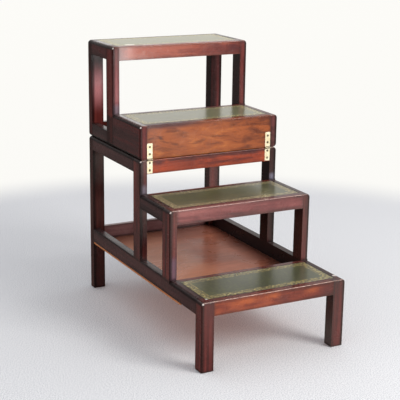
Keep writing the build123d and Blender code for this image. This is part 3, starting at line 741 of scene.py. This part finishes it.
def buildTooling(shape):
    # Gold is the leaf in the tooled border, Band the ground between its lines, and the rim output
    # the raw edge, darkened with a painted shadow of the gap
    group, given, made = startGroup(
        "toolingBorder",
        {"Place": ("vector", None), "Half Width": ("value", 0.19), "Half Depth": ("value", 0.07)},
        {"Gold": "value", "Band": "value", "RimAndGapShadow": "value", "Pressed": "value"},
    )
    at = splitAxes(group, given["Place"])
    fromSide = calc(group, "SUBTRACT", given["Half Width"], calc(group, "ABSOLUTE", at[0]))
    fromFront = calc(group, "SUBTRACT", given["Half Depth"], calc(group, "ABSOLUTE", at[1]))
    inset = calc(group, "MINIMUM", fromSide, fromFront)
    nearSide = calc(group, "LESS_THAN", fromSide, fromFront)
    along = addNode(group, "Mix", {0: nearSide, 2: at[0], 3: at[1]}, data_type="FLOAT").outputs[0]

    def wave(length, phase=0.0):
        return calc(group, "SINE", timesPlus(group, along, 2 * math.pi / length, phase))

    repeat, middle = shape["repeat"], shape["middle"]
    stemAt = timesPlus(group, wave(repeat), shape["stemSwing"], middle)
    stem = spread(group, apart(group, inset, stemAt), *shape["stemEdge"])
    leafAt = timesPlus(group, wave(repeat, math.pi), shape["leafSwing"], middle)
    leafSize = times(group, calc(group, "ABSOLUTE", wave(repeat)), shape["leafHalf"])
    leafOff = calc(group, "SUBTRACT", apart(group, inset, leafAt), leafSize)
    veins = calc(group, "ABSOLUTE", wave(shape["veinRepeat"], shape["veinPhase"]))
    leaf = spread(group, leafOff, *shape["leafEdge"])
    leaf = times(group, leaf, spread(group, veins, *shape["veinRange"]))
    drawn = calc(group, "MAXIMUM", stem, leaf)
    for lineAt, half in shape["lines"]:
        line = spread(group, apart(group, inset, lineAt), half, half * 0.5)
        drawn = calc(group, "MAXIMUM", drawn, line)
    missing = speckle(group, given["Place"], *shape["missing"])
    patchy = speckle(group, given["Place"], *shape["patchy"])
    kept = spread(group, missing, *shape["missingRange"])
    kept = times(group, kept, spread(group, patchy, *shape["patchyRange"]))
    put(group, made["Gold"], times(group, drawn, kept))
    put(group, made["Pressed"], drawn)
    bandStart = spread(group, inset, *shape["bandStart"])
    bandEnd = spread(group, inset, *shape["bandEnd"])
    put(group, made["Band"], times(group, bandStart, bandEnd))
    fromRim = calc(group, "SUBTRACT", inset, timesPlus(group, patchy, *shape["rimWander"]))
    put(group, made["RimAndGapShadow"], spread(group, fromRim, *shape["rimRange"]))
    return group


toolingBorder = buildTooling(toolingShape)

leatherLook = dict(
    deep=tint(22, 29, 15), olive=tint(50, 62, 30), rubbed=tint(100, 94, 54),
    gold=tint(244, 222, 140), margin=tint(58, 44, 22), edge=tint(22, 16, 14),
    scuffAndGlint=tint(240, 233, 222),
)
# where the hide is scuffed down to its pale inside, with a painted glint, given like the pale spots
scuffAndGlintSpots = (
    ((-0.1430, 0.2130, 0.7394), (0.0172, 0.0140, 0.0100), 1.00),
    ((-0.1860, -0.3370, 0.1848), (0.0045, 0.0045, 0.0100), 0.80),
)
leatherFinish = dict(
    cloud=(14.0, 4.0, 0.6, 0.5), mottle=(120.0, 4.0, 0.7), mottleRange=(0.3, 0.7), mottleShare=0.45,
    oliveRange=(0.25, 0.70), rubbedRange=(0.52, 0.85, 0.0, 0.7), pebbles=900.0, pebbleHeight=0.5,
    pressedDepth=0.6, band=0.75, gold=0.95, rim=0.9, goldMetal=0.15, rough=0.22, mottleRough=0.20,
    goldRough=-0.05, bandCoat=-0.10, pressedCoat=-0.20, bump=(0.3, 0.0003),
)


def makeLeather(name, halfWidth, halfDepth, polish, look, finish):
    material, tree, shader = startMaterial(
        name, IOR=1.55, Coat_Roughness=0.20,
        Sheen_Weight=0.42, Sheen_Roughness=0.35, Sheen_Tint=tint(238, 229, 176))
    flat = addNode(tree, "UVMap", uv_map="leatherPlace").outputs[0]
    place = objectPlace(tree)
    tooled = useGroup(tree, toolingBorder, Place=flat, Half_Width=halfWidth, Half_Depth=halfDepth)
    cloud = speckle(tree, place, *finish["cloud"])
    mottle = speckle(tree, place, *finish["mottle"])
    pebble = addNode(tree, "TexVoronoi", {"Vector": place, "Scale": finish["pebbles"]},
                     feature="SMOOTH_F1").outputs["Distance"]
    clouded = times(tree, cloud, 1.0 - finish["mottleShare"])
    mottled = spread(tree, mottle, *finish["mottleRange"])
    tone = timesPlus(tree, mottled, finish["mottleShare"], clouded)
    oliveShare = spread(tree, tone, *finish["oliveRange"])
    rubbedShare = spread(tree, tone, *finish["rubbedRange"])
    colour = blendColour(tree, oliveShare, look["deep"], look["olive"])
    colour = blendColour(tree, rubbedShare, colour, look["rubbed"])
    colour = layOver(tree, colour, tooled["Band"], finish["band"], look["margin"])
    colour = layOver(tree, colour, tooled["Gold"], finish["gold"], look["gold"])
    # the hide's edge painted dark: raw edge and painted shadow of the gap
    colour = layOver(tree, colour, tooled["RimAndGapShadow"], finish["rim"], look["edge"])
    # pale scuffs with painted glints
    colour = blendColour(tree, addSpots(tree, place, scuffAndGlintSpots), colour, look["scuffAndGlint"])
    put(tree, shader["Base Color"], colour)
    put(tree, shader["Metallic"], times(tree, tooled["Gold"], finish["goldMetal"]))
    rough = timesPlus(tree, mottle, finish["mottleRough"], finish["rough"])
    put(tree, shader["Roughness"], timesPlus(tree, tooled["Gold"], finish["goldRough"], rough))
    coat = timesPlus(tree, tooled["Band"], finish["bandCoat"], polish)
    coat = timesPlus(tree, tooled["Pressed"], finish["pressedCoat"], coat)
    put(tree, shader["Coat Weight"], coat)
    pebbled = times(tree, pebble, finish["pebbleHeight"])
    pressed = times(tree, tooled["Pressed"], finish["pressedDepth"])
    addBump(tree, shader, calc(tree, "SUBTRACT", pebbled, pressed), *finish["bump"])
    return material


usualHide = dict(facesDown=False, polish=0.65, look={})
leatherPieces = {
    "hide_step_one": dict(
        replaces="step_one_leather", body="lower_unit", restsOn="step_one_board", seed=1.7,
    ),
    "hide_step_two": dict(
        replaces="step_two_leather", body="lower_unit", restsOn="step_two_board", seed=4.1,
        look=dict(gold=tint(232, 212, 156), margin=tint(82, 68, 48)),
    ),
    "hide_step_three": dict(
        replaces="step_three_leather", body="upper_unit", restsOn="step_three_board", seed=7.3,
        polish=0.72,
    ),
    "hide_step_four": dict(
        replaces="step_four_leather", body="upper_unit", restsOn="step_four_board", seed=9.9,
    ),
    "hide_lower_table": dict(
        replaces="lower_table_leather", body="lower_unit", restsOn="lower_table_board", seed=12.5,
    ),
    "hide_upper_table": dict(
        replaces="upper_table_leather", body="upper_unit", restsOn="upper_table_board", seed=15.2,
        facesDown=True,
    ),
}
leatherShape = dict(
    spacing=0.0045, atEdge=1e-6, edgeWave=0.0005, edgeRipple=38,
    swell=0.00012, swellRipple=16, roundOver=0.0005,
)


def makeHide(name, piece, shape):
    low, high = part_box(piece["replaces"])
    size, centre = high - low, (low + high) / 2
    halfWidth, halfDepth = size.x / 2, size.y / 2
    seed, atEdge = piece["seed"], shape["atEdge"]
    mesh = bmesh.new()
    across, deep = (max(2, round(length / shape["spacing"])) for length in (size.x, size.y))
    bmesh.ops.create_grid(mesh, x_segments=across, y_segments=deep, size=0.5)
    bmesh.ops.scale(mesh, verts=mesh.verts[:], vec=(size.x, size.y, 1.0))
    for vert in mesh.verts:
        x, y = vert.co.x, vert.co.y
        wave = noise.noise(Vector((x * shape["edgeRipple"], y * shape["edgeRipple"], seed))) - 0.5
        pull = shape["edgeWave"] * (0.5 - wave) * 0.5
        if abs(abs(x) - halfWidth) < atEdge:
            vert.co.x -= math.copysign(pull, x)
        if abs(abs(y) - halfDepth) < atEdge:
            vert.co.y -= math.copysign(pull, y)
        swell = noise.noise(Vector((x * shape["swellRipple"], y * shape["swellRipple"], seed + 3)))
        vert.co.z += shape["swell"] * swell
    bmesh.ops.solidify(mesh, geom=mesh.faces[:], thickness=size.z)
    bmesh.ops.recalc_face_normals(mesh, faces=mesh.faces[:])
    rim = [edge for edge in mesh.edges if len(edge.link_faces) == 2
           and min(face.normal.z for face in edge.link_faces) < 0.5
           and max(face.normal.z for face in edge.link_faces) > 0.9]
    bmesh.ops.bevel(mesh, geom=rim, offset=shape["roundOver"], segments=2, profile=0.5,
                    affect="EDGES", material=-1)
    if piece["facesDown"]:
        halfTurn = Matrix.Rotation(math.pi, 3, "X")
        bmesh.ops.rotate(mesh, verts=mesh.verts[:], cent=(0, 0, 0), matrix=halfTurn)
    top = low.z if piece["facesDown"] else high.z
    bmesh.ops.translate(mesh, verts=mesh.verts[:], vec=(centre.x, centre.y, top))
    layer = mesh.loops.layers.uv.new("leatherPlace")
    for face in mesh.faces:
        face.smooth = True
        for loop in face.loops:
            loop[layer].uv = (loop.vert.co.x - centre.x, loop.vert.co.y - centre.y)
    data = bpy.data.meshes.new(name)
    mesh.to_mesh(data)
    mesh.free()
    hide = bpy.data.objects.new(name, data)
    scene.collection.objects.link(hide)
    polish, look = piece["polish"], dict(leatherLook, **piece["look"])
    leather = makeLeather(name + "_leather", halfWidth, halfDepth, polish, look, leatherFinish)
    data.materials.append(leather)
    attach(hide, piece["body"])
    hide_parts(piece["replaces"])


for name, piece in leatherPieces.items():
    makeHide(name, dict(usualHide, **piece), leatherShape)
print("leathers laid")


# Floor, sky, lights and camera. The mirrored ranges say what reflections show of the floor and sky

studio = dict(
    floorRadius=14.0, floorSides=96, floorColour=tint(246, 246, 247),
    fleckColour=tint(206, 207, 210), flecks=(320.0, 2.0, 0.6), fleckRange=(0.36, 0.62),
    floorMirrored=tint(250, 246, 234),
    mirroredLeft=(0.10, -0.28, 0.0, 0.76), mirroredRight=(1.0, 1.6, 0.0, 0.80),
    mirroredBack=(0.0, 0.4), mirroredBackAcross=(-0.28, -0.10, 0.0, 0.96),
    wallColour=tint(250, 249, 245), fadeRange=(1.32, 1.70),
    softSky=tint(222, 223, 226), skyColour=tint(255, 254, 252), dimSide=tint(128, 126, 125),
    skyBehind=(  # direction, then its range
        (1, 0.2, 0.5), (0, -0.4, -0.05), (0, 0.56, 0.47, 0.25, 1.0), (2, 0.24, 0.34, 1.0, 0.35),
    ),
    skyOverhead=(0.38, 0.55),
    camera=(-1.3982, -2.5975, 1.1402), turn=27.788, dip=15.335, roll=0.798,
    lens=100.125, sensorWidth=36.0,
)
lampAim = Vector((0.0, 0.0, 0.35))
lamps = {
    "windowLamp": dict(at=(1.5, -2.6, 2.2), width=1.4, watts=68.0, colour=(1.0, 0.985, 0.96)),
    "lowLamp": dict(at=(0.93, -2.7, 0.20), width=0.40, watts=7.5, colour=(1.0, 0.99, 0.98)),
}


def makeFloor(values):
    mesh = bmesh.new()
    radius, sides = values["floorRadius"], values["floorSides"]
    bmesh.ops.create_circle(mesh, cap_ends=True, radius=radius, segments=sides)
    data = bpy.data.meshes.new("studioFloor")
    mesh.to_mesh(data)
    mesh.free()
    floor = bpy.data.objects.new("studioFloor", data)
    scene.collection.objects.link(floor)
    material, tree, shader = startMaterial("palePaper", Roughness=0.9, Specular_IOR_Level=0.1)
    black = (0.0, 0.0, 0.0, 1.0)
    place = objectPlace(tree)
    rays = addNode(tree, "LightPath").outputs
    flecks = spread(tree, speckle(tree, place, *values["flecks"]), *values["fleckRange"])
    near = blendColour(tree, flecks, values["fleckColour"], values["floorColour"])
    faded = spread(tree, lengthOf(tree, place), *values["fadeRange"])
    wall = times(tree, faded, rays["Is Camera Ray"])
    at = splitAxes(tree, place)
    toLeft = spread(tree, at[0], *values["mirroredLeft"])
    toRight = spread(tree, at[0], *values["mirroredRight"])
    toBack = spread(tree, at[1], *values["mirroredBack"])
    toBack = times(tree, toBack, spread(tree, at[0], *values["mirroredBackAcross"]))
    unlit = calc(tree, "MAXIMUM", calc(tree, "MAXIMUM", toLeft, toRight), toBack)
    near = blendColour(tree, rays["Is Glossy Ray"], near, values["floorMirrored"])
    near = layOver(tree, near, rays["Is Glossy Ray"], unlit, black)
    put(tree, shader["Base Color"], blendColour(tree, wall, near, black))
    put(tree, shader["Emission Color"], blendColour(tree, wall, black, values["wallColour"]))
    shader["Emission Strength"].default_value = 1.0
    data.materials.append(material)


def makeSky(values):
    # even for soft light, white to the camera, and in reflections dim in front and to the left
    world = bpy.data.worlds.new("studioSky")
    scene.world = world
    world.use_nodes = True
    tree = world.node_tree
    backdrop = tree.nodes["Background"]
    toward = splitAxes(tree, addNode(tree, "TexCoord").outputs["Generated"])
    behind = 1.0
    for direction, *span in values["skyBehind"]:
        behind = times(tree, behind, spread(tree, toward[direction], *span))
    overhead = spread(tree, toward[2], *values["skyOverhead"])
    lit = calc(tree, "MAXIMUM", behind, overhead)
    mirrored = blendColour(tree, lit, values["dimSide"], values["skyColour"])
    rays = addNode(tree, "LightPath").outputs
    colour = blendColour(tree, rays["Is Glossy Ray"], values["softSky"], mirrored)
    colour = blendColour(tree, rays["Is Camera Ray"], colour, values["wallColour"])
    put(tree, backdrop.inputs["Color"], colour)


def makeLamps():
    for name, lamp in lamps.items():
        data = bpy.data.lights.new(name, "AREA")
        data.shape, data.size = "SQUARE", lamp["width"]
        data.energy, data.color = lamp["watts"], lamp["colour"]
        obj = bpy.data.objects.new(name, data)
        scene.collection.objects.link(obj)
        turn = (lampAim - Vector(lamp["at"])).to_track_quat("-Z", "Y").to_matrix().to_4x4()
        obj.matrix_world = Matrix.Translation(lamp["at"]) @ turn


def makeCamera(values):
    data = bpy.data.cameras.new("photoCamera")
    data.lens, data.sensor_width = values["lens"], values["sensorWidth"]
    camera = bpy.data.objects.new("photoCamera", data)
    scene.collection.objects.link(camera)
    turn, dip, roll = (math.radians(values[key]) for key in ("turn", "dip", "roll"))
    aim = Matrix.Rotation(-turn, 4, "Z") @ Matrix.Rotation(math.pi / 2 - dip, 4, "X")
    aim = aim @ Matrix.Rotation(roll, 4, "Z")
    camera.matrix_world = Matrix.Translation(values["camera"]) @ aim
    scene.camera = camera


makeFloor(studio)
makeSky(studio)
makeLamps()
makeCamera(studio)
print("studio set up")
